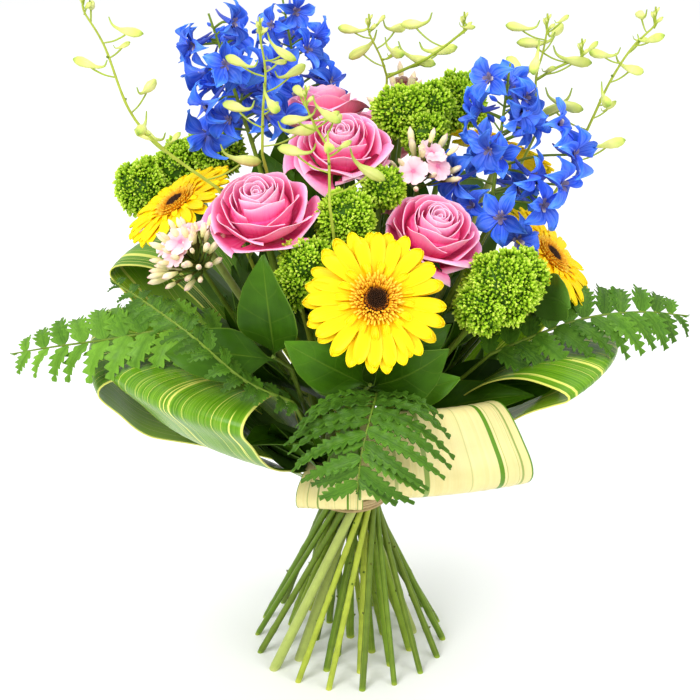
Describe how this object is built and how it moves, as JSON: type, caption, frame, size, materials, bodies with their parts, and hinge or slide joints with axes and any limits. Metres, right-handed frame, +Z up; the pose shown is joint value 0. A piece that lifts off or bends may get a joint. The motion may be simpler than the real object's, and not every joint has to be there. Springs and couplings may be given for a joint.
{
  "type": "flower bouquet",
  "caption": "Hand-tied spiral bouquet of roses, gerberas, delphiniums, ferns and folded striped leaves, standing on its cut stem ends.",
  "frame": {"origin": "on the surface below the middle of the bunch, with the cut stem ends at z = 0", "axes": "+Z up along the bunch, -Y towards the face of the bunch, +X to the right seen from the face"},
  "size_m": [0.4452, 0.3692, 0.477],
  "materials": {
    "rose_petal": "soft satin petals, paler at the rim",
    "green_stem": "satin green stem",
    "gerbera_ray": "soft satin petals",
    "gerbera_disc": "matte florets",
    "gerbera_stem": "satin pale green stem",
    "lime_head": "matte fine buds",
    "delphinium_petal": "satin blue petals",
    "bud_spray": "satin buds",
    "phlox_petal": "soft petals",
    "striped_leaf": "glossy striped leaf",
    "cream_leaf": "glossy cream leaf with green stripes",
    "fern_leaf": "satin frond",
    "broad_leaf": "glossy dark leaf",
    "tie": "matte cord"
  },
  "bodies": {
    "root": {"rose_left_petals": "rose_petal", "rose_left_stem": "green_stem", "rose_top_petals": "rose_petal", "rose_top_stem": "green_stem", "rose_far_petals": "rose_petal", "rose_far_stem": "green_stem", "rose_right_petals": "rose_petal", "rose_right_stem": "green_stem", "rose_back_petals": "rose_petal", "rose_back_stem": "green_stem", "gerbera_front_rays": "gerbera_ray", "gerbera_front_disc": "gerbera_disc", "gerbera_front_stem": "gerbera_stem", "gerbera_left_rays": "gerbera_ray", "gerbera_left_disc": "gerbera_disc", "gerbera_left_stem": "gerbera_stem", "gerbera_right_rays": "gerbera_ray", "gerbera_right_disc": "gerbera_disc", "gerbera_right_stem": "gerbera_stem", "gerbera_far_right_rays": "gerbera_ray", "gerbera_far_right_disc": "gerbera_disc", "gerbera_far_right_stem": "gerbera_stem", "head_front": "lime_head", "head_low": "lime_head", "head_top": "lime_head", "head_right": "lime_head", "head_left": "lime_head", "head_far_right": "lime_head", "delphinium_left": "delphinium_petal", "delphinium_right": "delphinium_petal", "delphinium_back": "delphinium_petal", "bud_spray_far_left": "bud_spray", "bud_spray_left": "bud_spray", "bud_spray_front": "bud_spray", "bud_spray_fork": "bud_spray", "bud_spray_right": "bud_spray", "bud_spray_far_right": "bud_spray", "phlox_left": "phlox_petal", "phlox_right": "phlox_petal", "phlox_back": "phlox_petal", "fern_left": "fern_leaf", "fern_low_left": "fern_leaf", "fern_front": "fern_leaf", "fern_right": "fern_leaf", "fern_back": "fern_leaf", "leafy_left": "broad_leaf", "leafy_front": "broad_leaf", "leafy_right": "broad_leaf", "leafy_far_right": "broad_leaf", "leafy_far_left": "broad_leaf", "loop_front_left": "striped_leaf", "loop_left": "striped_leaf", "loop_far_left": "striped_leaf", "loop_back": "striped_leaf", "loop_far_right": "striped_leaf", "loop_right": "striped_leaf", "loop_front_right": "cream_leaf", "loop_small": "cream_leaf", "tie": "tie"}
  },
  "joints": []
}
